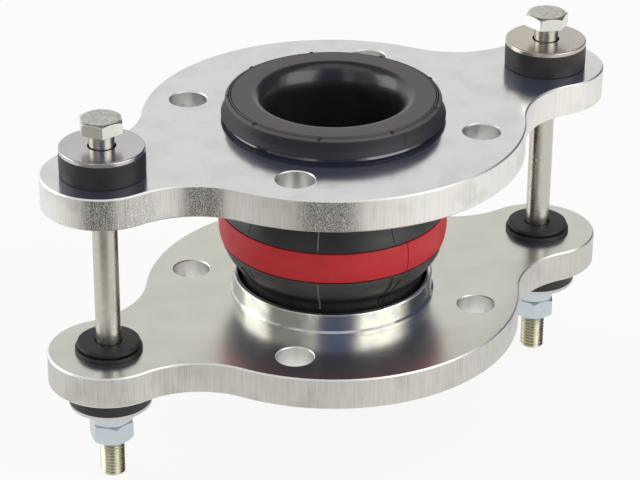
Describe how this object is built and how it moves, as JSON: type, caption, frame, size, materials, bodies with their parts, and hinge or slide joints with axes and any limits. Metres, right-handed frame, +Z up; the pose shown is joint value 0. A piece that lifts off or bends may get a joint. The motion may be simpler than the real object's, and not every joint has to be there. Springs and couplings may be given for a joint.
{
  "type": "rubber expansion joint",
  "caption": "Rubber pipe expansion joint: an arched bellows with a red band between eared steel flanges, tied by bolts with rubber buffers, for a flanged pipe.",
  "frame": {"origin": "centre of the lower bolt circle, on the lower flange's outer face", "axes": "+Z up along the pipe to the upper flange, +X along the ears towards the right tie rod, +Y across the ears"},
  "size_m": [0.3054, 0.185, 0.189],
  "materials": {
    "zinc_plate": "satin zinc plating, flame-cut edge",
    "turned_ring": "bright turned zinc plating",
    "rod_zinc": "bright zinc plating",
    "washer_zinc": "zinc plating with a rolled edge",
    "nut_zinc": "blue zinc plating",
    "bellows_rubber": "moulded, satin to glossy",
    "red_rubber": "satin",
    "buffer_rubber": "satin"
  },
  "bodies": {
    "lower_flange": {"lower_flange": "zinc_plate", "lower_support_ring": "turned_ring", "bellows": "bellows_rubber", "red_band": "red_rubber", "left_tie_rod": "rod_zinc", "left_lower_grommet": "buffer_rubber", "left_nut_buffer": "buffer_rubber", "left_nut_washer": "washer_zinc", "left_nut": "nut_zinc", "left_lock_nut": "nut_zinc", "right_tie_rod": "rod_zinc", "right_lower_grommet": "buffer_rubber", "right_nut_buffer": "buffer_rubber", "right_nut_washer": "washer_zinc", "right_nut": "nut_zinc", "right_lock_nut": "nut_zinc"},
    "upper_flange": {"upper_flange": "zinc_plate", "upper_support_ring": "turned_ring", "left_head_washer": "washer_zinc", "left_head_buffer": "buffer_rubber", "left_upper_grommet": "buffer_rubber", "right_head_washer": "washer_zinc", "right_head_buffer": "buffer_rubber", "right_upper_grommet": "buffer_rubber"}
  },
  "joints": [
    {"name": "axial_travel", "type": "slide", "parent": "lower_flange", "child": "upper_flange", "axis": [0, 0, 1], "range_m": [-0.03, 0.007], "stiffness_N_per_m": 60000, "springref_m": 0.0006, "deforming": ["bellows", "red_band"]}
  ]
}
